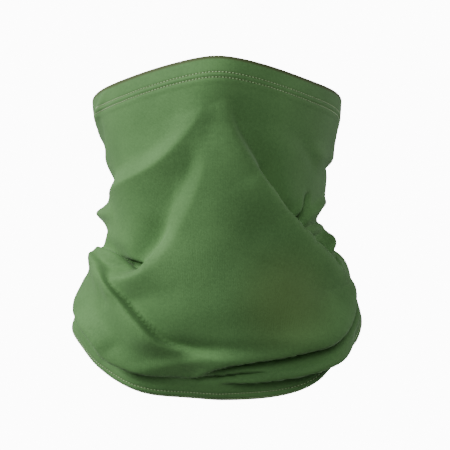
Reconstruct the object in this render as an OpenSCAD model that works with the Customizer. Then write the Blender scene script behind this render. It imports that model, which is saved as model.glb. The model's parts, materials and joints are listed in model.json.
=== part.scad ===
// Neck gaiter: a hemmed tube of stretch knit, standing in the shape it takes
// when it is worn from the bridge of the nose down to the collar.
// X is across the face, -Y is the front, +Z is up. Millimetres.
// The origin is the middle of the neck opening, level with the lowest point of its hem.
// Angles round the tube start at the nose: 90 is +X, 180 is the nape.

/* [Outer shape] */
// Height of the top edge over the nose
front_h = 210.5; // [200:0.5:225]
// Height of the top edge at the nape
nape_h = 178; // [170:1:190]
// Height of the bottom edge over each shoulder
shoulder_h = 45; // [36:1:48]
// Height of the bottom edge at the back
back_h = 14; // [8:1:20]
// Width at the ears
ear_w = 163; // [156:1:176]
// Width at the jaw, the narrowest place
jaw_w = 142; // [136:1:152]
// Width over the shoulders
collar_w = 192; // [184:1:204]
// How far the nose pushes the front out
nose_push = 5; // [0:0.5:8]

/* [Cloth] */
// Thickness of one layer of the knit
cloth_t = 0.6; // [0.5:0.1:0.8]
// Height of the turned hem at both ends
hem_h = 15.5; // [15:0.5:18]
// Gap that the solids keep between two layers
layer_gap = 0.2; // [0.15:0.05:0.3]

/* [Sewing] */
// Diameter of the sewing thread
thread_d = 0.4; // [0.3:0.05:0.5]
// Needle row nearer to the hem's folded edge
row_near = 9.6; // [9:0.2:10.4]
// Needle row nearer to the hem's raw edge
row_far = 12.8; // [12.2:0.2:13.8]
// Width of the overlocked seam allowance
seam_w = 6; // [4:0.5:6]
// Length of one loop of the overlock thread
overlock_pitch = 3; // [2.5:0.5:5]

/* [Care label] */
// Length of the label along the seam
label_h = 20; // [15:1:25]
// How far the folded label stands out of the seam
label_w = 28; // [20:1:32]
// Thickness of the label tape
label_t = 0.25; // [0.2:0.05:0.3]
// Height of the label's middle
label_z = 136; // [130:1:145]

/* [Hidden] */

knit_green = [0.31, 0.42, 0.27];
thread_green = [0.42, 0.54, 0.36];
label_white = [0.86, 0.86, 0.83];

columns = 72;              // corners round the tube
hem_rows = 3;              // bands down each hem
rows = 15 + 2 * hem_rows;  // bands from the top edge to the bottom edge
step = 360 / columns;
seam_a = 80;               // the seam, a little forward of the side; a whole number of columns
thread_r = thread_d / 2;
thread_air = 0.08;         // a thread rests this far off the cloth
seam_rows = 22;            // bands along the seam allowance
seam_air = 0.3;            // the allowance lies this far off the wall
hem_air = 2;               // and stops this far short of each hem's raw edge
seam_margin = 0.6;         // the overlock's loops turn this far inside the allowance's edges
allowance_in = cloth_t + seam_air + 2 * cloth_t;   // inset of its inner face
tail_air = 0.05;           // the label's tail rests this far off the allowance
tail_in = allowance_in + tail_air + 2 * label_t;   // inset of the tail's inner face
label_gap = 0.2;           // between the two halves of the folded tape
label_half = label_gap / 2 + label_t;              // half the folded tape's thickness
hinge_air = 0.3;
hinge_in = tail_in + thread_d + 2.0;               // inset of that fold
label_rest = 20;           // at rest the label stands this far off the seam's tangent

// One row every profile_step: half width, reach to the front, reach to the back
profile_low = -15;
profile_step = 25;
profile = [
    [collar_w / 2 - 5, 70, 72],
    [collar_w / 2 - 1, 77, 74],
    [collar_w / 2, 82, 74.5],
    [collar_w / 2 - 4, 84.5, 73],
    [(collar_w + jaw_w) / 4 - 0.5, 84, 71],
    [jaw_w / 2 + 1.5, 83.5, 71],
    [jaw_w / 2, 85, 75],
    [(ear_w + jaw_w) / 4, 88.5, 81],
    [ear_w / 2, 91, 86],
    [ear_w / 2 - 1, 88, 86],
    [ear_w / 2 - 8, 74, 80]
];

// ---- Shape of the worn tube ----

// The top edge is a rounded tent over the nose.
function tent(s) = sqrt(s * s + 0.0064) - 0.08;

function top_z(a) = front_h - (front_h - nape_h) * tent(sin(a / 2)) / tent(1);

function bottom_z(a) =
    let (mean = (2 * shoulder_h + back_h) / 4,
         sway = 4,
         tilt = -back_h / 2 - sway,
         saddle = mean - shoulder_h)
    mean + tilt * cos(a) + saddle * cos(2 * a) + sway * cos(3 * a);

// Smooth curve through q and r, with p and s beside them
function blend(p, q, r, s, t) =
    (2 * q + (r - p) * t + (2 * p - 5 * q + 4 * r - s) * t * t
     + (3 * q - p - 3 * r + s) * t * t * t) / 2;

function profile_at(z) =
    let (u = (z - profile_low) / profile_step,
         last = len(profile) - 1,
         i = max(0, min(last - 1, floor(u))))
    blend(profile[max(0, i - 1)], profile[i], profile[i + 1], profile[min(last, i + 2)], u - i);

function nose(a, z) =
    let (side = (a > 180 ? a - 360 : a) / 17,
         rise = (z - 198) / 20)
    nose_push * exp(-side * side - rise * rise);

// A point of the wall at angle a and height z, moved in by inset
function wall(a, z, inset) =
    let (size = profile_at(z),
         reach = cos(a) > 0 ? size[1] + nose(a, z) : size[2])
    [(size[0] - inset) * sin(a), -(reach - inset) * cos(a), z];

// Height of ring k: 0 is the top edge, hem_rows the top hem's raw edge, and so on down
function ring_z(a, k) =
    k < hem_rows ? top_z(a) - hem_h * k / hem_rows
    : k > rows - hem_rows ? bottom_z(a) + hem_h * (rows - k) / hem_rows
    : let (g = (k - hem_rows) / (rows - 2 * hem_rows))
      (1 - g) * (top_z(a) - hem_h) + g * (bottom_z(a) + hem_h);

// Corner i of a hem, off millimetres from the edge, on the straight line between two rings
function corner(i, off, inset, top) =
    let (a = (i % columns) * step,
         u = off / hem_h * hem_rows,
         k = floor(u),
         first = top ? k : rows - k,
         next = top ? k + 1 : rows - k - 1)
    (1 - u + k) * wall(a, ring_z(a, first), inset) + (u - k) * wall(a, ring_z(a, next), inset);

// The same between two corners, where c isn't whole
function beside(c, off, inset, top) =
    let (i = floor(c), t = c - i)
    (1 - t) * corner(i, off, inset, top) + t * corner(i + 1, off, inset, top);

// A point w millimetres behind the seam, on the flat side that starts there
function seam_point(w, z, inset) =
    let (t = w / profile_at(z)[1] * 180 / PI / step)
    (1 - t) * wall(seam_a, z, inset) + t * wall(seam_a + step, z, inset);

// Height along the seam between the two hems' raw edges: g is 0 at the top
function seam_z(g) =
    let (high = top_z(seam_a) - hem_h - hem_air, low = bottom_z(seam_a) + hem_h + hem_air)
    high + (low - high) * g;

// ---- Builders: points come in m rings of n ----

function side_faces(n, m, closed) = [
    for (j = [0 : closed ? m - 1 : m - 2], i = [0 : n - 1])
        let (a = j * n + i, b = j * n + (i + 1) % n,
             c = ((j + 1) % m) * n + (i + 1) % n, d = ((j + 1) % m) * n + i)
        each [[a, b, c], [a, c, d]]
];

module loop_solid(points, n) {
    polyhedron(points, side_faces(n, len(points) / n, true));
}

module capped_solid(points, n) {
    m = len(points) / n;
    caps = [[for (i = [n - 1 : -1 : 0]) i], [for (i = [0 : n - 1]) (m - 1) * n + i]];
    polyhedron(points, concat(side_faces(n, m, false), caps));
}

// A closed band of cloth between two insets, from ring first down to ring last
module cloth_ring(outer, inner, first, last) {
    outline = concat([for (k = [first : last]) [k, outer]], [for (k = [last : -1 : first]) [k, inner]]);
    loop_solid([
        for (i = [0 : columns - 1])
            for (p = outline) wall(i * step, ring_z(i * step, p[0]), p[1])
    ], len(outline));
}

// ---- Sub-parts ----

module tube_panel() {
    color(knit_green) cloth_ring(0, cloth_t, 0, rows);
}

module hem_turn(first, last) {
    color(knit_green) cloth_ring(cloth_t + layer_gap, 2 * cloth_t + layer_gap, first, last);
}

module needle_thread(off, top) {
    sides = 6;
    color(thread_green) loop_solid([
        for (i = [0 : columns - 1], s = [0 : sides - 1])
            let (f = s * 360 / sides)
            corner(i, off + thread_r * sin(f), -thread_r - thread_air + thread_r * cos(f), top)
    ], sides);
}

// Inside the hem the looper thread zigzags between the two needle rows
module looper_thread(top) {
    sides = 4;
    turns_a_column = 2;
    inset = 2 * cloth_t + layer_gap + thread_r + thread_air;
    color(thread_green) loop_solid([
        for (i = [0 : columns * turns_a_column - 1], s = [0 : sides - 1])
            let (f = s * 360 / sides,
                 off = (i % 2 == 0 ? row_near : row_far) + thread_r * sin(f))
            beside(i / turns_a_column, off, inset + thread_r * cos(f), top)
    ], sides);
}

module side_seam_allowance() {
    outline = [[0, cloth_t + seam_air], [seam_w, cloth_t + seam_air],
               [seam_w, allowance_in], [0, allowance_in]];
    color(knit_green) capped_solid([
        for (j = [0 : seam_rows], p = outline) seam_point(p[0], seam_z(j / seam_rows), p[1])
    ], len(outline));
}

// Loops over the allowance's inner face, and over the label's tail where that lies on it
module side_seam_overlock_thread() {
    sides = 4;
    turns = floor((seam_z(0) - seam_z(1)) / overlock_pitch);
    slope = overlock_pitch / 2 / (seam_w - 2 * seam_margin);
    half_w = thread_r * sqrt(1 + 1 / (slope * slope));
    color(thread_green) capped_solid([
        for (i = [1 : 2 * turns - 1], s = [0 : sides - 1])
            let (f = s * 360 / sides,
                 z = seam_z(i / (2 * turns)),
                 near_label = abs(z - label_z) < label_h / 2 + overlock_pitch,
                 face = near_label ? tail_in : allowance_in,
                 w = i % 2 == 0 ? seam_margin : seam_w - seam_margin)
            seam_point(w + half_w * sin(f), z, face + thread_air + thread_r - thread_r * cos(f))
    ], sides);
}

// Where the label swings: a point on the vertical line of its fold
hinge = seam_point(0, label_z, hinge_in);

// A point of the tail's free end, which faces that fold: side is -1 or 1
function tail_end(side, z) =
    let (reach = label_half + hinge_air)
    [hinge[0] + reach * sin(seam_a) + side * label_t * cos(seam_a),
     hinge[1] - reach * cos(seam_a) + side * label_t * sin(seam_a), z];

// The tape's two cut ends, flat under the overlock, then standing out towards the fold
module care_label_tail() {
    levels = 4;
    end_w = seam_w - 0.5;
    color(label_white) capped_solid([
        for (j = [0 : levels])
            let (z = label_z + label_h / 2 - label_h * j / levels)
            each [seam_point(-label_t, z, allowance_in + tail_air),
                  seam_point(end_w, z, allowance_in + tail_air),
                  seam_point(end_w, z, tail_in),
                  seam_point(label_t, z, tail_in),
                  tail_end(1, z),
                  tail_end(-1, z)]
    ], 6);
}

// A tape folded once: a round fold on the line it swings about, and a round bend at the far end
module care_label() {
    bend = label_w - label_half;
    color(label_white)
        translate([hinge[0], hinge[1], label_z - label_h / 2])
            rotate([0, 0, seam_a + label_rest])
                linear_extrude(label_h)
                    difference() {
                        union() {
                            circle(r = label_half, $fn = 32);
                            translate([0, -label_half]) square([bend, 2 * label_half]);
                            translate([bend, 0]) circle(r = label_half, $fn = 32);
                        }
                        translate([label_half, -label_gap / 2]) square([bend - label_half, label_gap]);
                    }
}

// ---- Assembly ----

tube_panel();
hem_turn(0, hem_rows);  // top_hem_turn
hem_turn(rows - hem_rows, rows);  // bottom_hem_turn
needle_thread(row_near, true);  // top_hem_needle_thread_near
needle_thread(row_far, true);  // top_hem_needle_thread_far
needle_thread(row_near, false);  // bottom_hem_needle_thread_near
needle_thread(row_far, false);  // bottom_hem_needle_thread_far
looper_thread(true);  // top_hem_looper_thread
looper_thread(false);  // bottom_hem_looper_thread
side_seam_allowance();
side_seam_overlock_thread();
care_label_tail();
care_label();
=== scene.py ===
"""Neck gaiter: the knit with its folds, the turned hems, the sewing and the care label.

The cloth is a grid that runs round the tube and down it. It starts as the CAD tube's
shape. Each fold is a short route on the tube, with a size at each of its points, and
moves the grid out, in, or over itself. Some folds also have a reach to each side of the
route, which may change along it. Everything sewn to the cloth is then laid on the
finished grid. Shapes are worked out in millimetres and made in metres.
Angles start at the nose: 90 is +X, where the side seam is, and 180 is the nape.
"""
import json
import math

import bpy
import numpy as np
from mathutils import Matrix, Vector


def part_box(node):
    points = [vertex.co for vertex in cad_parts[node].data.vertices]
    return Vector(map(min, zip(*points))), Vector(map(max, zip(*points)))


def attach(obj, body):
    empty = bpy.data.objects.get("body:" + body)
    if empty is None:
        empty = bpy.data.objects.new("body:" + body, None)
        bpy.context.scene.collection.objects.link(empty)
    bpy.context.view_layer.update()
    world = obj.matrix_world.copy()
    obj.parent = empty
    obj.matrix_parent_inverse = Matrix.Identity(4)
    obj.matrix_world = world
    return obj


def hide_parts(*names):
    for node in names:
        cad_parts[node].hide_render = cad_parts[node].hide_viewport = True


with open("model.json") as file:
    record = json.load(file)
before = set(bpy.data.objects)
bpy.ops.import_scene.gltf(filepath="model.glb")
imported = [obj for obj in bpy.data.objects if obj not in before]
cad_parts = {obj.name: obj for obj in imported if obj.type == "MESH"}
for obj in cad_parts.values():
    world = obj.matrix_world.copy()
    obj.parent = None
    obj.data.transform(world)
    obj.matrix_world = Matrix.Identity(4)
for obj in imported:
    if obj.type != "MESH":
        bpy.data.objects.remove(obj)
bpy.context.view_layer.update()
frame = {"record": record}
MM = 0.001
TAU = 2 * math.pi

# ---- The tube's shape, as in the CAD source ----

FRONT_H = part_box("tube_panel")[1][2] / MM
NAPE_H = 178.0
SHOULDER_H = 45.0
BACK_H = 14.0
EAR_W = 163.0
JAW_W = 142.0
COLLAR_W = 192.0
NOSE_PUSH = 5.0
HEM_H = 15.5
CLOTH_T = 0.6
PROFILE_LOW = -15.0
PROFILE_STEP = 25.0
PROFILE = np.array([          # half width, reach to the front, reach to the back
    [COLLAR_W / 2 - 5, 70, 72],
    [COLLAR_W / 2 - 1, 77, 74],
    [COLLAR_W / 2, 82, 74.5],
    [COLLAR_W / 2 - 4, 84.5, 73],
    [(COLLAR_W + JAW_W) / 4 - 0.5, 84, 71],
    [JAW_W / 2 + 1.5, 83.5, 71],
    [JAW_W / 2, 85, 75],
    [(EAR_W + JAW_W) / 4, 88.5, 81],
    [EAR_W / 2, 91, 86],
    [EAR_W / 2 - 1, 88, 86],
    [EAR_W / 2 - 8, 74, 80],
])
ROUND = 80.0                  # millimetres round the tube to a radian, where folds are measured
SEAM_A = 80.0                 # degrees from the nose to the side seam


def tent(s):
    """The size of s, with its corner at 0 rounded off."""
    return np.sqrt(s * s + 0.0064) - 0.08


def top_z(a):
    """Height of the top edge, peaked at the nose."""
    return FRONT_H - (FRONT_H - NAPE_H) * tent(np.sin(a / 2)) / tent(1.0)


def bottom_z(a):
    """Height of the smooth bottom edge, lowest in front."""
    mean = (2 * SHOULDER_H + BACK_H) / 4
    sway = 4.0
    return (mean - (BACK_H / 2 + sway) * np.cos(a)
            + (mean - SHOULDER_H) * np.cos(2 * a) + sway * np.cos(3 * a))


def profile_at(z):
    """Half width, front reach and back reach at each height."""
    u = (z - PROFILE_LOW) / PROFILE_STEP
    last = len(PROFILE) - 1
    i = np.clip(np.floor(u).astype(int), 0, last - 1)
    t = (u - i)[..., None]
    p, q = PROFILE[np.maximum(i - 1, 0)], PROFILE[i]
    r, s = PROFILE[i + 1], PROFILE[np.minimum(i + 2, last)]
    return (2 * q + (r - p) * t + (2 * p - 5 * q + 4 * r - s) * t ** 2
            + (3 * q - p - 3 * r + s) * t ** 3) / 2


def wall(a, z):
    """The smooth tube's point at each angle and height."""
    a = (a + math.pi) % TAU - math.pi
    size = profile_at(z)
    nose = NOSE_PUSH * np.exp(-(np.degrees(a) / 17) ** 2 - ((z - 198) / 20) ** 2)
    reach = np.where(np.cos(a) > 0, size[..., 1] + nose, size[..., 2])
    return np.stack([size[..., 0] * np.sin(a), -reach * np.cos(a), z], axis=-1)


# ---- Folds ----

# The heights that the front folds are placed from, at rows of PROFILE
EAR, JAW, THROAT, COLLAR = [PROFILE_LOW + row * PROFILE_STEP for row in (8, 6, 4, 2)]

def smooth_route(points, spacing=1.5):
    """A curve through the points, resampled about every spacing millimetres."""
    p = np.array(points, float)
    p[:, 0] = np.radians(p[:, 0]) * ROUND
    out = []
    for i in range(len(p) - 1):
        a, b, c, d = p[max(i - 1, 0)], p[i], p[i + 1], p[min(i + 2, len(p) - 1)]
        count = max(2, int(np.hypot(*(c - b)[:2]) / spacing))
        for t in np.arange(count) / count:
            out.append((2 * b + (c - a) * t + (2 * a - 5 * b + 4 * c - d) * t * t
                        + (3 * b - a - 3 * c + d) * t ** 3) / 2)
    out.append(p[-1])
    return np.array(out)


class Drape:
    """The offsets that the folds give to points (s, z) of the unrolled tube."""

    def __init__(self, a, z):
        self.s = np.radians((np.degrees(a) + 180) % 360 - 180) * ROUND
        self.z = z
        self.out = np.zeros_like(z)
        self.move_s = np.zeros_like(z)
        self.move_z = np.zeros_like(z)

    def near(self, points, margin):
        """Points near a route: their mask, distance to its left, its other values, and left direction."""
        route = smooth_route(points)
        tangent = np.gradient(route[:, :2], axis=0)
        tangent /= np.linalg.norm(tangent, axis=1)[:, None]
        s = self.s
        if route[:, 0].max() > math.pi * ROUND:      # a route across the nape counts on past 180
            s = np.where(s < 0, s + TAU * ROUND, s)
        low, high = route[:, :2].min(axis=0) - margin, route[:, :2].max(axis=0) + margin
        mask = (s > low[0]) & (s < high[0]) & (self.z > low[1]) & (self.z < high[1])
        at = np.stack([s[mask], self.z[mask]], axis=-1)
        nearest = np.empty(len(at), int)
        for start in range(0, len(at), 8192):
            part = at[start:start + 8192]
            gap = ((part[:, None, :] - route[None, :, :2]) ** 2).sum(axis=-1)
            nearest[start:start + 8192] = gap.argmin(axis=1)
        left = np.stack([-tangent[nearest, 1], tangent[nearest, 0]], axis=-1)
        across = ((at - route[nearest, :2]) * left).sum(axis=-1)
        return mask, across, route[nearest, 2:].T, left

    def ridge(self, points, left, right=None):
        """A rounded crest; a negative size makes it a valley. Widths are to each side."""
        right = left if right is None else right
        mask, d, (size,), _ = self.near(points, 3 * max(left, right))
        width = np.where(d > 0, left, right)
        self.out[mask] += size * np.exp(-(d / width) ** 2)

    def crest(self, points, left, right, edge=1.0):
        """A sharp crest whose sides fall away like a tent's; edge rounds its top."""
        mask, d, (size,), _ = self.near(points, 5 * max(left, right))
        width = np.where(d > 0, left, right)
        self.out[mask] += size * np.exp(-(np.sqrt(d * d + edge * edge) - edge) / width)

    def slopes(self, points, edge=1.0, foot=0.2):
        """A crest with a straight fall on each side. Each point ends with its left and right reach."""
        mask, d, (size, left, right), _ = self.near(points, 1.6 * max(max(p[3:]) for p in points))
        far = (np.sqrt(d * d + edge * edge) - edge) / np.where(d > 0, left, right)
        self.out[mask] += size * (np.sqrt((1 - far) ** 2 + foot * foot) + 1 - far) / 2

    def crease(self, points, width, edge=0.5):
        """A V-shaped groove."""
        self.crest([(a, z, -size) for a, z, size in points], width, width, edge)

    def overlap(self, points, width, high, lap=0.0, reach=16.0, dip=0.35, dip_reach=9.0):
        """One side stands proud of the other, and laps over it by about lap."""
        mask, d, (size,), left = self.near(points, 3 * max(reach, dip_reach))
        sign = 1.0 if high == "left" else -1.0
        d = d * sign
        q = d / width
        rise = 0.5 * (1 + np.tanh(1.8 * q))
        upper = rise * np.exp(-(np.maximum(d, 0) / reach) ** 2)
        lower = (1 - rise) * np.exp(-(np.minimum(d, 0) / dip_reach) ** 2)
        self.out[mask] += size * (upper - dip * lower)
        most = np.abs(size).max() or 1.0
        slide = -1.6 * lap * q * np.exp(-q * q) * size / most * sign
        self.move_s[mask] += slide * left[:, 0]
        self.move_z[mask] += slide * left[:, 1]

    def place(self):
        """The folded cloth's points: slid over the tube's wall, then moved out along its normal."""
        a = (self.s + self.move_s) / ROUND
        z = self.z + self.move_z
        step = 0.004
        p = wall(a, z)
        round_way = wall(a + step, z) - wall(a - step, z)
        down_way = wall(a, z - 0.5) - wall(a, z + 0.5)
        normal = np.cross(down_way, round_way)
        normal /= np.linalg.norm(normal, axis=-1)[..., None]
        return p + normal * self.out[..., None]


def fold_front(d):
    """Folds of the face and throat. Each point is an angle, a height and a size."""
    # Crest from the nose along the left cheek to the jaw, with a long fall below it
    d.slopes([(-5, EAR, 0, 6, 10), (-10, EAR - 15, 3, 10, 12), (-25, JAW + 15, 6.5, 20, 13),
              (-50, JAW, 9, 32, 11), (-75, JAW - 10, 3, 30, 8), (-90, JAW - 20, 0, 24, 8)], 0.7, 0.3)
    d.ridge([(-15, EAR - 15, 0), (-30, JAW + 20, -1.5), (-45, JAW + 10, -1), (-60, JAW + 5, 0)], 5)
    d.ridge([(-20, JAW + 10, 0), (-25, JAW - 20, -3), (-30, THROAT + 15, -8), (-40, THROAT, -11),
             (-55, THROAT, -9), (-70, THROAT + 10, 0)], 6, 14)
    # Swag from the throat that turns back up to the left
    d.slopes([(-5, EAR - 15, 0, 60, 7), (-5, JAW + 10, 3, 90, 7), (-10, JAW - 10, 4.5, 90, 9),
              (-15, THROAT + 25, 4.5, 60, 12), (-20, THROAT + 10, 4, 36, 12), (-30, THROAT - 5, 6.5, 14, 6),
              (-45, THROAT - 10, 7, 12, 6), (-60, THROAT, 6, 9, 8), (-85, THROAT + 10, 0, 8, 8)], 2.6, 0.25)
    # The left side between the cheek and the collar: in, out and in again
    d.ridge([(-60, JAW, 0), (-90, JAW - 5, -6), (-105, JAW - 5, -5), (-125, JAW - 5, 0)], 11)
    d.ridge([(-60, JAW - 20, 0), (-75, JAW - 20, 5), (-90, JAW - 20, 8), (-125, JAW - 20, 0)], 5, 7)
    d.ridge([(-70, THROAT + 10, 0), (-80, THROAT + 10, -10), (-95, THROAT + 10, -15),
             (-130, THROAT + 10, 0)], 9, 8)
    d.ridge([(-75, THROAT, 0), (-90, THROAT, -5), (-105, THROAT, -5), (-125, THROAT, 0)], 7)
    d.ridge([(-65, COLLAR + 5, 0), (-90, COLLAR + 5, 4), (-120, COLLAR + 5, 0)], 10)
    d.ridge([(70, THROAT + 10, 0), (80, THROAT + 15, -6), (100, THROAT + 15, -8), (115, THROAT + 15, 0)], 11)
    # The pocket under the cheek: one lip over it and one under it
    d.overlap([(-65, THROAT + 10, 0), (-50, THROAT + 5, 3), (-35, THROAT, 3), (-30, THROAT - 5, 0)],
              2, "left", lap=2, reach=10, dip=0.6, dip_reach=6)
    d.overlap([(-75, THROAT + 10, 0), (-55, THROAT + 5, 7), (-40, THROAT - 5, 0)],
              1.7, "right", lap=4, reach=8, dip=0.9, dip_reach=5)
    # Crease down the left of the throat, ending in a tongue
    d.overlap([(-85, THROAT + 10, 0), (-60, THROAT, 3.5), (-45, THROAT - 15, 6), (-30, COLLAR + 15, 7),
               (-20, COLLAR, 7), (-10, COLLAR - 5, 3), (5, COLLAR - 10, 0)],
              2.2, "right", lap=1.5, reach=15, dip=0.5, dip_reach=9)
    d.ridge([(-55, THROAT - 5, 0), (-50, COLLAR + 35, -2), (-45, COLLAR + 20, 0)], 4)
    # Lower edge of the left panel over the hem
    d.overlap([(-90, COLLAR + 30, 0), (-75, COLLAR + 20, 4), (-60, COLLAR + 10, 8), (-50, COLLAR, 8.5),
               (-45, COLLAR - 10, 7), (-30, COLLAR - 20, 4), (-10, COLLAR - 25, 0)],
              1.8, "left", lap=4, reach=9, dip=0.9, dip_reach=11)
    d.ridge([(-70, COLLAR + 15, 0), (-65, COLLAR + 5, -3), (-55, COLLAR - 5, -4), (-50, COLLAR - 15, 0)], 4)
    # Rolls across the bottom of the front
    d.slopes([(-40, COLLAR - 20, 0, 5, 8), (-20, COLLAR - 15, 2, 5, 8), (0, COLLAR - 10, 2.5, 5, 8),
              (20, COLLAR - 15, 0, 5, 6)], 1.5)
    d.overlap([(-15, COLLAR - 25, 0), (0, COLLAR - 23, 5), (10, COLLAR - 21, 5), (25, COLLAR - 20, 0)],
              1.3, "left", lap=3, reach=4, dip=0.8, dip_reach=4)
    # The big front panel's right edge: from the nose, over the jaw, round under the throat
    d.overlap([(5, EAR, 0), (10, EAR - 20, 4), (20, JAW + 10, 6.5), (25, JAW, 6), (35, JAW - 15, 0)],
              3.8, "right", reach=34, dip=0.9, dip_reach=11)
    d.overlap([(20, JAW + 10, 0), (30, JAW - 10, 5), (40, THROAT + 25, 7.5), (50, THROAT + 10, 8),
               (60, THROAT - 5, 7.5), (70, THROAT - 15, 6), (65, COLLAR + 25, 8), (55, COLLAR + 10, 10),
               (45, COLLAR, 10), (35, COLLAR - 5, 9), (25, COLLAR - 10, 7.5), (5, COLLAR - 15, 6.5),
               (-10, COLLAR - 25, 0)],
              1.9, "right", lap=4, reach=15, dip=1.1, dip_reach=8)
    # Roll between that edge and the hem, and the dark gap over the hem
    d.ridge([(80, COLLAR + 25, 0), (70, COLLAR + 15, 4.5), (55, COLLAR, 6), (35, COLLAR - 15, 4),
             (5, COLLAR - 20, 0)], 5.5)
    d.overlap([(0, COLLAR - 30, 0), (15, COLLAR - 28, 5), (30, COLLAR - 23, 7.5), (45, COLLAR - 15, 8),
               (55, COLLAR - 10, 7), (70, COLLAR, 0)], 1.6, "left", lap=4, reach=6, dip=0.9, dip_reach=13)
    # Crumpled cloth at the right of the jaw
    d.ridge([(90, EAR, 0), (90, JAW + 15, 2), (90, JAW - 15, 0)], 18)
    d.ridge([(60, JAW - 20, 0), (80, JAW - 25, -2.5), (100, JAW - 25, -2.5), (125, JAW - 20, 0)], 9)
    d.ridge([(30, EAR - 15, 0), (50, JAW + 20, -1.5), (60, JAW + 5, 0)], 6)
    d.ridge([(45, JAW + 25, 0), (70, JAW + 15, 2), (100, JAW + 20, 0)], 5)
    d.crease([(60, JAW + 15, 0), (90, JAW + 10, 3), (110, JAW + 10, 0)], 3)
    d.ridge([(55, JAW - 5, 0), (50, JAW - 20, -10), (40, JAW - 30, 0)], 2.6)
    d.ridge([(50, JAW - 5, 0), (45, JAW - 20, 2.5), (40, JAW - 25, 0)], 2.5)
    d.ridge([(50, JAW - 25, 0), (65, JAW - 15, 4.5), (85, JAW - 10, 0)], 3.5)
    d.crease([(45, JAW - 30, 0), (65, JAW - 25, 6), (90, JAW - 20, 4), (110, JAW - 15, 0)], 2)
    d.ridge([(50, THROAT + 20, 0), (70, THROAT + 25, 3), (90, THROAT + 25, 0)], 3)
    d.crease([(45, THROAT + 10, 0), (55, THROAT + 15, 5), (70, THROAT + 20, 0)], 1.8)
    d.ridge([(75, THROAT + 25, 0), (65, THROAT + 10, 6), (55, THROAT, 0)], 3)
    d.ridge([(60, THROAT + 15, 0), (60, THROAT + 10, -7), (55, THROAT + 5, 0)], 2.5)
    d.ridge([(80, THROAT + 20, 0), (75, THROAT + 5, -14), (70, THROAT - 10, 0)], 3.5)
    d.ridge([(80, THROAT + 25, 0), (90, THROAT + 5, 3), (80, THROAT - 15, 0)], 4)
    # Side of the top hem on the left
    d.ridge([(-55, EAR + 10, 0), (-70, EAR - 5, 2), (-80, EAR - 15, 0)], 3)
    d.ridge([(-65, EAR - 10, 0), (-80, EAR - 25, -3), (-100, EAR - 25, 0)], 5)


def fold_back(d):
    """The nape's gathers: the tube is as long here as in front, and has less height to fill."""
    d.ridge([(96, 146, 0), (120, 139, 2.5), (150, 134, 4), (180, 132, 4.5), (212, 134, 4),
             (240, 138, 2), (262, 143, 0)], 8, 6)
    d.overlap([(92, 122, 0), (115, 117, 3), (145, 110, 4.5), (178, 107, 5), (205, 109, 4),
               (232, 116, 2), (250, 120, 0)], 3, "left", lap=2, reach=11, dip=0.5, dip_reach=8)
    d.ridge([(130, 104, 0), (160, 96, 3), (190, 93, 4), (220, 97, 4), (250, 105, 3), (268, 108, 0)], 6, 5)
    d.overlap([(98, 96, 0), (120, 88, 3), (150, 80, 4.5), (182, 77, 5), (215, 80, 4.5),
               (240, 86, 3), (262, 92, 0)], 3, "left", lap=2.4, reach=11, dip=0.5, dip_reach=8)
    d.ridge([(92, 78, 0), (112, 68, 3), (140, 60, 4), (170, 56, 4), (196, 57, 3), (215, 60, 0)], 6)
    d.overlap([(160, 52, 0), (185, 47, 3), (212, 49, 4.5), (238, 57, 4), (258, 66, 3), (272, 72, 0)],
              3, "left", lap=2, reach=10, dip=0.5, dip_reach=7)
    d.ridge([(100, 56, 0), (125, 44, 2.5), (150, 37, 3), (175, 34, 0)], 6)
    d.ridge([(150, 176, 0), (156, 165, 1.5), (160, 152, 1.5), (163, 142, 0)], 8)
    d.ridge([(206, 176, 0), (204, 164, 1.5), (200, 150, 0)], 9)


# ---- The cloth's grid ----

COLUMNS = 352                 # even, because the inner face has half as many
MIDDLE_ROWS = 161
ROW_NEAR, ROW_FAR = 9.6, 12.8         # the needle rows, measured from the folded edge
# Rows of a hem, closer together at its edge and beside the needle rows
HEM_STEPS = np.array([0, 0.6, 1.5, 3, 4.5, 6, 7.5, 8.6, 9.1, ROW_NEAR, 10.1, 10.8, 11.6, 12.3,
                      ROW_FAR, 13.3, 14.2, HEM_H])
HEM_ROWS = len(HEM_STEPS)
FAR_OFF = 99.0                        # stands for anywhere clear of both hems
CURL_R = 2.2                          # radius of the bottom hem's curl
CURL_TURN = math.radians(60)          # how far past its lowest line the curl goes on turning


def column_angles():
    """The columns' angles, closer together in front than behind."""
    a = np.linspace(-math.pi, math.pi, 3601)
    weight = 0.4 + 0.6 / (1 + np.exp((np.abs(np.degrees(a)) - 100) / 6))
    total = np.concatenate([[0], np.cumsum((weight[1:] + weight[:-1]) / 2)])
    return np.interp(np.arange(COLUMNS) / COLUMNS * total[-1], total, a)


ANGLES = column_angles()


def bottom_curl(off, a):
    """Height over the lowest line and place inside the wall, off millimetres from the folded edge."""
    curled = 2 + 5 / (1 + np.exp((np.abs(np.degrees(a)) - 95) / 10))
    t = off - curled
    f = np.clip(t / CURL_R, -CURL_TURN, math.pi / 2)
    above = np.maximum(t - CURL_R * math.pi / 2, 0)
    inside = np.maximum(-t - CURL_R * CURL_TURN, 0)
    height = CURL_R * (1 - np.cos(f)) + above + inside * math.sin(CURL_TURN)
    place = CURL_R * (np.sin(f) - 1) - inside * math.cos(CURL_TURN)
    return height, place


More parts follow.
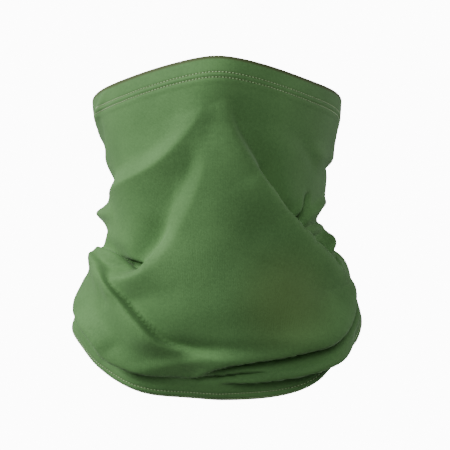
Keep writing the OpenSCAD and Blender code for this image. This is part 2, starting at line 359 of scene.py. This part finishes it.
def flat_grid():
    """Heights of every row at every column, from the top edge to the bottom edge, and the curl inward."""
    angle = np.degrees(ANGLES)
    top = top_z(ANGLES) - 1.3 * np.exp(-((np.abs(angle) - 45) / 20) ** 2)
    # The edge hangs lower where the hem turns in, in front and at the left
    bottom = bottom_z(ANGLES) - 6.5 * np.exp(-(angle / 60) ** 4)
    bottom -= 1.5 * np.exp(-((angle + 30) / 15) ** 2)
    bottom -= 9 * np.exp(-((angle + 75) / 30) ** 2)
    bottom -= 7 * np.exp(-((angle - 40) / 25) ** 2)
    curl, inward = bottom_curl(HEM_STEPS[::-1, None], ANGLES)
    g = (np.arange(MIDDLE_ROWS) + 1)[:, None] / (MIDDLE_ROWS + 1)
    middle = (1 - g) * (top - HEM_H) + g * (bottom + curl[0])
    heights = np.concatenate([top - HEM_STEPS[:, None], middle, bottom + curl])
    place = np.concatenate([np.zeros((HEM_ROWS + MIDDLE_ROWS, COLUMNS)), inward])
    return heights, place


def sewing_pull(rows):
    """The needle rows pull the hem in, and the cloth swells between and beside them."""
    off = np.full(rows, FAR_OFF)
    off[:HEM_ROWS] = HEM_STEPS
    off[-HEM_ROWS:] = HEM_STEPS[::-1]
    pull = -0.32 * (np.exp(-((off - ROW_NEAR) / 0.45) ** 2) + np.exp(-((off - ROW_FAR) / 0.45) ** 2))
    pull += 0.25 * np.exp(-((off - (ROW_NEAR + ROW_FAR) / 2) / 0.8) ** 2)
    pull += np.where(off <= HEM_H, 0.3, 0)
    return pull[:, None]


def lay_cloth(z, inward):
    """The grid's points, with every fold in place."""
    d = Drape(np.broadcast_to(ANGLES, z.shape), z)
    fold_front(d)
    fold_back(d)
    # A slow unevenness that no knit is without
    d.out += 0.35 * np.sin(d.s / 13 + 1.3 * np.sin(d.z / 31)) * np.sin(d.z / 17 + 2)
    d.crease([(SEAM_A, top, 0.25) for top in np.linspace(FRONT_H, 20, 12)], 0.7, 0.4)
    # The front and the left side turn in towards the hem
    angle = np.degrees(d.s / ROUND)
    front = np.exp(-((angle - 5) / 33) ** 4)
    d.out -= (4 / (1 + np.exp((d.z - 47) / 5)) + 7 / (1 + np.exp((d.z - 34) / 2.6))) * front
    low = 1 - (d.z - bottom_z(np.radians(angle))) / 18
    d.out -= 2.5 * np.exp(-((angle + 20) / 84) ** 6) * (np.sqrt(low * low + 0.03) + low)
    d.out += inward
    return d.place()


def relax(grid, rounds):
    """Evens the grid a little, as cloth does, and keeps its two edges."""
    for _ in range(rounds):
        mean = (np.roll(grid, 1, axis=1) + np.roll(grid, -1, axis=1)) / 2
        mean[1:-1] = (mean[1:-1] + (grid[2:] + grid[:-2]) / 2) / 2
        grid = grid + 0.5 * (mean - grid)
    return grid


def grid_normals(grid):
    """Outward normals."""
    round_way = np.roll(grid, -1, axis=1) - np.roll(grid, 1, axis=1)
    down_way = np.gradient(grid, axis=0)
    normal = np.cross(down_way, round_way)
    return normal / np.linalg.norm(normal, axis=-1)[..., None]


HEIGHTS, INWARD = flat_grid()
GRID = relax(lay_cloth(HEIGHTS, INWARD), 1)
ROWS = len(GRID)
GRID = GRID + grid_normals(GRID) * sewing_pull(ROWS)[..., None]
NORMALS = grid_normals(GRID)


def on_cloth(angle, row, inset=0.0):
    """Points of the finished cloth at fractional rows, moved in by inset."""
    angle = (np.asarray(angle, float) + math.pi) % TAU - math.pi
    column = np.interp(angle, np.append(ANGLES, ANGLES[0] + TAU), np.arange(COLUMNS + 1))
    row = np.clip(np.asarray(row, float), 0, ROWS - 1)
    i, j = np.minimum(row.astype(int), ROWS - 2), column.astype(int) % COLUMNS
    u, v = (row - i)[..., None], (column - np.floor(column))[..., None]
    k = (j + 1) % COLUMNS

    def mix(field):
        return ((1 - u) * ((1 - v) * field[i, j] + v * field[i, k])
                + u * ((1 - v) * field[i + 1, j] + v * field[i + 1, k]))

    return mix(GRID) - mix(NORMALS) * np.asarray(inset)[..., None]


def hem_row(off, top):
    """The row that lies off millimetres from the top or the bottom edge."""
    row = np.interp(off, HEM_STEPS, np.arange(HEM_ROWS))
    return row if top else ROWS - 1 - row


# ---- Mesh helpers ----

def make_object(name, points, faces, around=None, along=0.0, off=FAR_OFF):
    """A smooth mesh. around and along place its texture, and off is the way from a hem's edge."""
    points = np.asarray(points, float).reshape(-1, 3)
    mesh = bpy.data.meshes.new(name)
    mesh.from_pydata((points * MM).tolist(), [], faces)
    mesh.update()
    mesh.shade_smooth()
    if around is not None:
        index = np.empty(len(mesh.loops), int)
        start = np.empty(len(mesh.polygons), int)
        total = np.empty(len(mesh.polygons), int)
        mesh.loops.foreach_get("vertex_index", index)
        mesh.polygons.foreach_get("loop_start", start)
        mesh.polygons.foreach_get("loop_total", total)
        u = np.broadcast_to(around, points.shape[:1])[index]
        widest = np.repeat(np.maximum.reduceat(u, start), total)
        u = np.where(widest - u > math.pi * ROUND, u + TAU * ROUND, u)     # the faces that close the tube
        v = np.broadcast_to(along, points.shape[:1])[index]
        hem = np.broadcast_to(off, points.shape[:1])[index]
        for layer, pair in (("cloth", (u, v)), ("hem", (hem, v))):
            mesh.uv_layers.new(name=layer).data.foreach_set("uv", np.stack(pair, axis=-1).ravel())
    obj = bpy.data.objects.new(name, mesh)
    bpy.context.scene.collection.objects.link(obj)
    return obj


def ring_faces(m, n, start=0, closed=False, turned=False):
    """Quads between m rings of n points; closed also joins the last ring to the first."""
    faces = []
    for i in range(m if closed else m - 1):
        below = (i + 1) % m
        for j in range(n):
            k = (j + 1) % n
            face = (start + i * n + j, start + below * n + j, start + below * n + k, start + i * n + k)
            faces.append(face[::-1] if turned else face)
    return faces


def capped_faces(m, n, start=0):
    """The same with both ends closed."""
    first = tuple(range(start, start + n))
    last = tuple(range(start + (m - 1) * n, start + m * n))
    return ring_faces(m, n, start) + [first, last[::-1]]


def flat_out(points):
    """Directions away from the tube's axis."""
    flat = points * [1, 1, 0]
    return flat / np.linalg.norm(flat, axis=-1)[..., None]


def thread_object(name, paths, radius, sides=6, closed=False):
    """Round threads along paths, each an array of points."""
    points, faces, count = [], [], 0
    turn = (np.arange(sides) / sides * TAU)[:, None]
    for path in paths:
        way = np.roll(path, -1, axis=0) - np.roll(path, 1, axis=0) if closed else np.gradient(path, axis=0)
        way /= np.linalg.norm(way, axis=1)[:, None]
        side = np.cross(way, flat_out(path))
        side /= np.linalg.norm(side, axis=1)[:, None]
        up = np.cross(side, way)
        size = np.full((len(path), 1, 1), radius)
        if not closed:
            size[0] = size[-1] = 0.55 * radius
        rings = path[:, None] + size * (np.cos(turn) * side[:, None] + np.sin(turn) * up[:, None])
        points.append(rings.reshape(-1, 3))
        build = ring_faces(len(path), sides, count, True) if closed else capped_faces(len(path), sides, count)
        faces += build
        count += len(path) * sides
    return make_object(name, np.concatenate(points), faces)


def tape_object(name, middle, thickness):
    """A tape whose middle lines are given level by level."""
    way = np.gradient(middle, axis=1)
    side = np.cross(way, [0, 0, 1])
    side /= np.linalg.norm(side, axis=-1)[..., None]
    half = side * thickness / 2
    outline = np.concatenate([middle + half, (middle - half)[:, ::-1]], axis=1)
    return make_object(name, outline, capped_faces(len(outline), outline.shape[1]))


def finish_piece(piece, material, slot, body, *nodes):
    """Gives a piece its material and its body, and hides the CAD nodes that it stands for."""
    piece.data.materials.append(material)
    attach(piece, body)
    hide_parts(*nodes)
    return piece


# ---- Materials ----

class Nodes:
    """A short way to build a node tree."""

    def __init__(self, name):
        self.material = bpy.data.materials.new(name)
        self.material.use_nodes = True
        self.tree = self.material.node_tree
        self.shader = self.tree.nodes["Principled BSDF"]

    def add(self, kind, inputs=(), **settings):
        node = self.tree.nodes.new(kind)
        for key, value in settings.items():
            setattr(node, key, value)
        for key, value in dict(inputs).items():
            if isinstance(value, bpy.types.NodeSocket):
                self.tree.links.new(value, node.inputs[key])
            else:
                node.inputs[key].default_value = value
        return node

    def link(self, out, key):
        self.tree.links.new(out, self.shader.inputs[key])

    def set(self, **values):
        for key, value in values.items():
            self.shader.inputs[key.replace("_", " ")].default_value = value

    def math(self, operation, *values):
        return self.add("ShaderNodeMath", dict(enumerate(values)), operation=operation).outputs[0]

    def fade(self, value, start, end):
        """1 at start, falling to 0 at end."""
        inputs = {"Value": value, "From Min": start, "From Max": end, "To Min": 1.0, "To Max": 0.0}
        return self.add("ShaderNodeMapRange", inputs, interpolation_type="SMOOTHSTEP").outputs["Result"]

    def mix(self, share, first, second):
        """Colour first where share is 0, second where it is 1."""
        node = self.add("ShaderNodeMix", {0: share, 6: first, 7: second}, data_type="RGBA")
        return node.outputs[2]


KNIT_LIGHT = (0.088, 0.196, 0.064, 1)
KNIT_DARK = (0.058, 0.138, 0.042, 1)
# Colour of the painted shade where the light falls off on the right front
PAINTED_SHADE_OLIVE = (0.088, 0.135, 0.036, 1)
EDGE_OLIVE = (0.050, 0.055, 0.020, 1)
PAINTED_SHADE_PLACE = (0.045, -0.075, 0.062)  # the middle of the painted shade patch, darker and browner where the light falls off on the right front, in metres
STITCHES = 252                        # stitches round each needle row


def knit_material():
    """Fine jersey: columns of loops, a slightly uneven dye, painted shade low on the right front, darker
    folded edges and needle holes.
    """
    n = Nodes("green_knit")
    uv = n.add("ShaderNodeUVMap", uv_map="cloth").outputs["UV"]
    patches = n.add("ShaderNodeTexNoise", {"Vector": uv, "Scale": 0.03, "Detail": 3.0, "Roughness": 0.5})
    mottle = n.add("ShaderNodeTexNoise", {"Vector": uv, "Scale": 0.55, "Detail": 3.0, "Roughness": 0.7})
    fuzz = n.add("ShaderNodeTexNoise", {"Vector": uv, "Scale": 2.2, "Detail": 2.0, "Roughness": 0.7})
    tone = n.math("ADD", patches.outputs["Fac"], n.math("ADD", mottle.outputs["Fac"], fuzz.outputs["Fac"]))
    ramp = n.add("ShaderNodeValToRGB", {"Fac": n.math("DIVIDE", tone, 3.0)})
    ramp.color_ramp.elements[0].position = 0.40
    ramp.color_ramp.elements[0].color = KNIT_DARK
    ramp.color_ramp.elements[1].position = 0.60
    ramp.color_ramp.elements[1].color = KNIT_LIGHT

    # Painted shade: a darker, browner patch low on the right front, where the light falls off
    place = n.add("ShaderNodeTexCoord").outputs["Object"]
    away = n.add("ShaderNodeVectorMath", {0: place, 1: PAINTED_SHADE_PLACE}, operation="DISTANCE")
    painted_shade = n.math("MULTIPLY", n.fade(away.outputs["Value"], 0.004, 0.045), 0.45)
    colour = n.mix(painted_shade, ramp.outputs["Color"], PAINTED_SHADE_OLIVE)

    hem = n.add("ShaderNodeUVMap", uv_map="hem").outputs["UV"]
    off = n.add("ShaderNodeSeparateXYZ", {0: hem}).outputs["X"]
    colour = n.mix(n.math("MULTIPLY", n.fade(off, 0.6, 2.2), 0.85), colour, EDGE_OLIVE)
    near = n.math("ABSOLUTE", n.math("SUBTRACT", off, ROW_NEAR))
    far = n.math("ABSOLUTE", n.math("SUBTRACT", off, ROW_FAR))
    on_row = n.fade(n.math("MINIMUM", near, far), 0.25, 0.65)
    around = n.add("ShaderNodeSeparateXYZ", {0: uv}).outputs["X"]
    beat = n.math("COSINE", n.math("MULTIPLY", around, STITCHES / ROUND))
    holes = n.math("MULTIPLY", on_row, n.fade(beat, -0.9, 0.2))
    colour = n.mix(n.math("MULTIPLY", holes, 0.6), colour, EDGE_OLIVE)
    n.link(colour, "Base Color")

    loops = {"Vector": uv, "Distortion": 0.6, "Detail": 1.0, "Detail Scale": 2.0}
    wales = n.add("ShaderNodeTexWave", {**loops, "Scale": 0.32}, bands_direction="X")
    courses = n.add("ShaderNodeTexWave", {**loops, "Scale": 0.36}, bands_direction="Y")
    knit = n.math("MULTIPLY", wales.outputs["Fac"], courses.outputs["Fac"])
    height = n.math("ADD", knit, n.math("ADD", fuzz.outputs["Fac"], n.math("MULTIPLY", holes, -2.0)))
    bump = n.add("ShaderNodeBump", {"Height": height, "Strength": 0.35, "Distance": 0.00015})
    n.link(bump.outputs["Normal"], "Normal")
    n.set(Roughness=0.75, Sheen_Weight=0.12, Sheen_Roughness=0.45, Specular_IOR_Level=0.2)
    n.shader.inputs["Sheen Tint"].default_value = (0.75, 0.95, 0.7, 1)
    return n.material


def thread_material():
    """Twisted sewing thread, lighter than the cloth."""
    n = Nodes("green_thread")
    place = n.add("ShaderNodeTexCoord").outputs["Object"]
    noise = n.add("ShaderNodeTexNoise", {"Vector": place, "Scale": 900.0, "Detail": 2.0})
    ramp = n.add("ShaderNodeValToRGB", {"Fac": noise.outputs["Fac"]})
    ramp.color_ramp.elements[0].color = (0.24, 0.38, 0.17, 1)
    ramp.color_ramp.elements[1].color = (0.42, 0.58, 0.32, 1)
    n.link(ramp.outputs["Color"], "Base Color")
    ply = n.add("ShaderNodeTexWave", {"Vector": place, "Scale": 900.0}, bands_direction="DIAGONAL")
    bump = n.add("ShaderNodeBump", {"Height": ply.outputs["Fac"], "Strength": 0.3, "Distance": 0.0001})
    n.link(bump.outputs["Normal"], "Normal")
    n.set(Roughness=0.5, Sheen_Weight=0.2)
    return n.material


def label_material():
    """Blank woven satin tape."""
    n = Nodes("label_satin")
    place = n.add("ShaderNodeTexCoord").outputs["Object"]
    weave = n.add("ShaderNodeTexWave", {"Vector": place, "Scale": 700.0, "Distortion": 0.4},
                  bands_direction="Z")
    ramp = n.add("ShaderNodeValToRGB", {"Fac": weave.outputs["Fac"]})
    ramp.color_ramp.elements[0].color = (0.68, 0.68, 0.64, 1)
    ramp.color_ramp.elements[1].color = (0.80, 0.80, 0.77, 1)
    n.link(ramp.outputs["Color"], "Base Color")
    bump = n.add("ShaderNodeBump", {"Height": weave.outputs["Fac"], "Strength": 0.2, "Distance": 0.0001})
    n.link(bump.outputs["Normal"], "Normal")
    n.set(Roughness=0.38, Sheen_Weight=0.1)
    return n.material


# ---- Pieces ----

TURN_NEAR = CLOTH_T + 0.25            # insets of the turned layer's two faces
TURN_FAR = 2 * CLOTH_T + 0.25
THREAD_R = 0.22
ALLOWANCE_NEAR = CLOTH_T + 0.3        # insets of the seam allowance's two faces
ALLOWANCE_FAR = ALLOWANCE_NEAR + 2 * CLOTH_T
SEAM_W = 6.0
SEAM_REACH = 85.0                     # from the tube's axis to the seam
LABEL_TOP, LABEL_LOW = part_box("care_label")[1][2] / MM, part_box("care_label")[0][2] / MM
LABEL_W = 28.0
TAPE_T = 0.25
HINGE = np.array(frame["record"]["behaviour"]["joints"][0]["pos_m"]) / MM


def rolled_edge(edge, inner, normal, steps):
    """Rings that carry the cloth round its folded edge to the turned layer's inner face."""
    away = edge - inner
    away /= np.linalg.norm(away, axis=-1)[..., None]
    return [edge + TURN_FAR / 2 * (away * math.sin(f) - normal * (1 - math.cos(f))) for f in steps]


def tube_cloth():
    """The outer face, and an inner face with half as many rows and columns, joined round both edges."""
    steps = np.radians([30, 60, 90, 120, 150, 180])
    top = rolled_edge(GRID[0], GRID[1], NORMALS[0], steps[::-1])
    low = rolled_edge(GRID[-1], GRID[-2], NORMALS[-1], steps)
    outer = np.array(top + list(GRID) + low)
    m, n = outer.shape[:2]
    inner = (outer - grid_normals(outer) * CLOTH_T)[::2, ::2]
    start, half = m * n, n // 2
    faces = ring_faces(m, n) + ring_faces(len(inner), half, start, turned=True)
    for k in range(half):
        after = (k + 1) % half
        a, b, c = 2 * k, 2 * k + 1, (2 * k + 2) % n
        faces.append((a, b, c, start + after, start + k))
        a, b, c = a + start - n, b + start - n, c + start - n
        last = start + (len(inner) - 1) * half
        faces.append((c, b, a, last + k, last + after))
    hem = np.concatenate([HEM_STEPS, np.full(MIDDLE_ROWS, FAR_OFF), HEM_STEPS[::-1]])
    off = np.concatenate([np.zeros(len(steps)), hem, np.zeros(len(steps))])
    arc = np.cumsum(np.linalg.norm(np.diff(outer, axis=0, prepend=outer[:1]), axis=-1), axis=0)
    around, off = np.broadcast_to(ANGLES * ROUND, arc.shape), np.broadcast_to(off[:, None], arc.shape)

    def both(field):
        return np.concatenate([field.ravel(), field[::2, ::2].ravel()])

    return make_object("tube_cloth", np.concatenate([outer.reshape(-1, 3), inner.reshape(-1, 3)]), faces,
                       both(around), -both(arc), both(off))


def hem_turn(name, top):
    """The turned-in layer inside a hem."""
    offs = np.linspace(0.3, HEM_H, 12)
    outline = [(off, TURN_NEAR) for off in offs] + [(off, TURN_FAR) for off in offs[::-1]]
    rings = np.array([on_cloth(ANGLES, np.full(COLUMNS, hem_row(off, top)), inset) for off, inset in outline])
    around = np.broadcast_to(ANGLES * ROUND, rings.shape[:2]).ravel()
    along = np.repeat([off for off, _ in outline], COLUMNS)
    return make_object(name, rings, ring_faces(len(rings), COLUMNS, closed=True), around, along)


def needle_row(name, off, top):
    """A row of short stitches that dip into the cloth at both ends."""
    along = np.linspace(-0.28, 0.28, 6)
    lift = np.array([-0.25, 0.14, 0.24, 0.24, 0.14, -0.25])
    row = np.full(len(along), hem_row(off, top))
    paths = [on_cloth((k + along) * TAU / STITCHES, row, -lift) for k in range(STITCHES)]
    return thread_object(name, paths, THREAD_R)


def looper_row(name, top):
    """The thread that covers the raw edge inside, a zigzag of soft loops."""
    k = np.arange(STITCHES * 8) / 8
    off = (ROW_NEAR + ROW_FAR) / 2 + (ROW_FAR - ROW_NEAR) / 2 * np.sin(k * TAU)
    sway = 0.35 * np.sin(2 * k * TAU)
    path = on_cloth((k + sway) * TAU / STITCHES, hem_row(off, top), TURN_FAR + THREAD_R)
    return thread_object(name, [path], THREAD_R * 0.9, 5, closed=True)


def at_seam(w, row, inset):
    """A point w millimetres behind the seam."""
    return on_cloth(math.radians(SEAM_A) + np.asarray(w) / SEAM_REACH, row, inset)


SEAM_ROWS = np.arange(HEM_ROWS + 2, ROWS - HEM_ROWS - 2)
SEAM_LINE = at_seam(np.zeros(len(SEAM_ROWS)), SEAM_ROWS, 0)
SEAM_ARC = np.cumsum(np.linalg.norm(np.diff(SEAM_LINE, axis=0, prepend=SEAM_LINE[:1]), axis=1))


def seam_allowance():
    """Two layers of knit laid to the back, with a groove between their cut edges."""
    near, far = ALLOWANCE_NEAR, ALLOWANCE_FAR
    middle = (near + far) / 2
    cut = SEAM_W
    outline = [(0, near), (2, near), (4, near), (cut - 0.2, near), (cut, near + 0.15),
               (cut, middle - 0.12), (cut - 0.25, middle), (cut, middle + 0.12),
               (cut, far - 0.15), (cut - 0.2, far), (4, far), (2, far), (0.3, far), (0, far - 0.3)]
    w = np.array([p[0] for p in outline])
    inset = np.array([p[1] for p in outline])
    uneven = 1 + 0.03 * np.sin(SEAM_ARC / 3.1) * np.sin(SEAM_ARC / 7.7)
    rings = np.array([at_seam(w * k, np.full(len(w), row), inset) for k, row in zip(uneven, SEAM_ROWS)])
    return make_object("seam_allowance_cloth", rings, capped_faces(len(rings), len(w)),
                       np.tile(w, len(rings)), np.repeat(SEAM_ARC, len(w)))


def overlock():
    """Loops over the allowance's face and round its cut edge, and a row of needle stitches."""
    pitch = 2.8
    # One loop: millimetres behind the seam, drop below the face, and share of the pitch
    loop = np.array([(0.9, 0, 0), (3.2, 0, 0.22), (5.5, 0, 0.42), (SEAM_W + 0.25, 0.7, 0.5),
                     (5.5, 0, 0.58), (3.2, 0, 0.8)])
    rest = ALLOWANCE_FAR + THREAD_R
    turns = int(SEAM_ARC[-1] / pitch) - 1
    w, inset, arc = [np.concatenate(part) for part in zip(*[
        (loop[:, 0], rest - loop[:, 1], (k + 0.5 + loop[:, 2]) * pitch) for k in range(turns)])]
    row = np.interp(arc, SEAM_ARC, SEAM_ROWS)
    height = np.interp(arc, SEAM_ARC, SEAM_LINE[:, 2])
    # The thread lies higher where it crosses the label's ends
    tail = (height > LABEL_LOW - pitch) & (height < LABEL_TOP + pitch)
    paths = [at_seam(w, row, inset + np.where(tail, 2 * TAPE_T, 0))]
    for k in range(turns):
        arc = (k + 0.5 + np.linspace(0.1, 0.9, 5)) * pitch
        lift = rest + 0.1 + np.array([-0.3, 0, 0.1, 0, -0.3])
        lift += np.where(abs(np.interp(arc, SEAM_ARC, SEAM_LINE[:, 2]) - HINGE[2]) < 12, 2 * TAPE_T, 0)
        paths.append(at_seam(np.full(5, 1.5), np.interp(arc, SEAM_ARC, SEAM_ROWS), lift))
    return thread_object("overlock_stitches", paths, THREAD_R * 0.85)


def label_tail():
    """The label's two cut ends under the overlock, then out to the fold that the label swings on."""
    out = np.array([math.sin(math.radians(SEAM_A)), -math.cos(math.radians(SEAM_A)), 0])
    levels = []
    for z in np.linspace(LABEL_TOP, LABEL_LOW, 12):
        row = np.interp(-z, -SEAM_LINE[:, 2], SEAM_ROWS)
        under = at_seam(np.array([5.5, 4, 2.5, 1.2]), np.full(4, row), ALLOWANCE_FAR + 0.05 + TAPE_T)
        end = HINGE * [1, 1, 0] + out * 0.7 + [0, 0, z]
        leave = end + out * 1.2
        t = np.linspace(0, 1, 7)[1:, None]
        under[:, 2] = z
        bend = (1 - t) ** 2 * under[-1] + 2 * t * (1 - t) * leave + t * t * end
        levels.append(np.concatenate([under, bend]))
    return tape_object("care_label_tail_tape", np.array(levels), 2 * TAPE_T)


def label_tape():
    """One tape folded on the hinge line, with a round bend at its free end."""
    half = TAPE_T * 0.9
    turn = np.radians(np.linspace(0, 180, 9))
    far = LABEL_W - 0.35
    u = np.concatenate([-half * np.sin(turn[4:]), np.linspace(2, far - 2, 12), far + half * np.sin(turn),
                        np.linspace(far - 2, 2, 12), -half * np.sin(turn[:5])])
    v = np.concatenate([-half * np.cos(turn[4:]), np.full(12, half), half * np.cos(turn),
                        np.full(12, -half), -half * np.cos(turn[:5])])
    corner = np.array(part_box("care_label")) / MM
    away = (corner[0] + corner[1]) / 2 - HINGE
    away = away * [1, 1, 0] / np.linalg.norm(away[:2])
    side = np.cross([0, 0, 1], away)
    levels = []
    for t in np.linspace(0, 1, 12):
        bow = 0.9 * (u / LABEL_W) ** 2 + 0.35 * np.sin(TAU * t) * u / LABEL_W
        z = LABEL_TOP + (LABEL_LOW - LABEL_TOP) * t
        levels.append(HINGE * [1, 1, 0] + u[:, None] * away + (v + bow)[:, None] * side + [0, 0, z])
    return tape_object("care_label_tape", np.array(levels), TAPE_T)


knit = knit_material()
thread = thread_material()
satin = label_material()
tube = finish_piece(tube_cloth(), knit, "knit", "gaiter", "tube_panel")
for end, is_top in (("top", True), ("bottom", False)):
    turned = hem_turn(f"{end}_hem_turn_cloth", is_top)
    finish_piece(turned, knit, "knit", "gaiter", f"{end}_hem_turn")
    for place, off in (("near", ROW_NEAR), ("far", ROW_FAR)):
        node = f"{end}_hem_needle_thread_{place}"
        row = needle_row(f"{end}_hem_stitches_{place}", off, is_top)
        finish_piece(row, thread, "thread", "gaiter", node)
    cover = looper_row(f"{end}_hem_looper_stitches", is_top)
    finish_piece(cover, thread, "thread", "gaiter", f"{end}_hem_looper_thread")
finish_piece(seam_allowance(), knit, "knit", "gaiter", "side_seam_allowance")
finish_piece(overlock(), thread, "thread", "gaiter", "side_seam_overlock_thread")
finish_piece(label_tail(), satin, "label_tape", "gaiter", "care_label_tail")
label = finish_piece(label_tape(), satin, "label_tape", "label", "care_label")


# ---- Camera, light and floor ----

def add_area(name, place, aim, size, power, colour):
    """A round soft light at a place, turned to its aim."""
    light = bpy.data.lights.new(name, "AREA")
    light.shape = "DISK"
    light.size = size
    light.energy = power
    light.color = colour
    obj = bpy.data.objects.new(name, light)
    bpy.context.scene.collection.objects.link(obj)
    obj.location = place
    way = np.array(aim, float) - np.array(place, float)
    tilt = math.acos(-way[2] / np.linalg.norm(way))
    obj.rotation_euler = (tilt, 0, math.atan2(way[1], way[0]) - math.pi / 2)
    return obj


def add_stage():
    """A pale floor and a white dome, both hidden from diffuse rays so that they don't flood the cloth."""
    far, low = 4500, -800
    corners = [(-far, -far, low), (far, -far, low), (far, far, low), (-far, far, low)]
    floor = make_object("floor", corners, [(0, 1, 2, 3)])
    n = Nodes("pale_floor")
    n.set(Base_Color=(0.9, 0.9, 0.9, 1), Roughness=0.8, Emission_Strength=0.5)
    floor.data.materials.append(n.material)
    floor.visible_diffuse = False
    bpy.ops.mesh.primitive_uv_sphere_add(segments=48, ring_count=24, radius=9)
    dome = bpy.context.active_object
    dome.name = "backdrop"
    n = Nodes("white_backdrop")
    glow = n.add("ShaderNodeEmission", {"Color": (1, 1, 1, 1), "Strength": 12.0})
    n.tree.links.new(glow.outputs[0], n.tree.nodes["Material Output"].inputs["Surface"])
    dome.data.materials.append(n.material)
    dome.visible_diffuse = False
    dome.visible_glossy = False
    dome.visible_transmission = False
    dome.visible_shadow = False


add_stage()
world = bpy.data.worlds.new("studio")
bpy.context.scene.world = world
world.use_nodes = True
world.node_tree.nodes["Background"].inputs["Color"].default_value = (1, 1, 1, 1)
world.node_tree.nodes["Background"].inputs["Strength"].default_value = 0.08
MIDDLE = (0, 0, 0.11)
add_area("key", (-2.0, -0.55, 1.35), MIDDLE, 1.1, 106, (1, 1, 1))
add_area("fill", (0.1, -2.0, 0.8), MIDDLE, 1.2, 26, (1, 1, 1))
add_area("rim", (2.0, 0.5, 0.6), MIDDLE, 0.8, 14, (1, 1, 1))

camera_data = bpy.data.cameras.new("camera")
camera_data.lens = 133.3
camera_data.sensor_width = 36
camera = bpy.data.objects.new("camera", camera_data)
bpy.context.scene.collection.objects.link(camera)
camera.location = (0.0053, -1.1, 0.1084)
camera.rotation_euler = (math.pi / 2, 0, 0)
bpy.context.scene.camera = camera
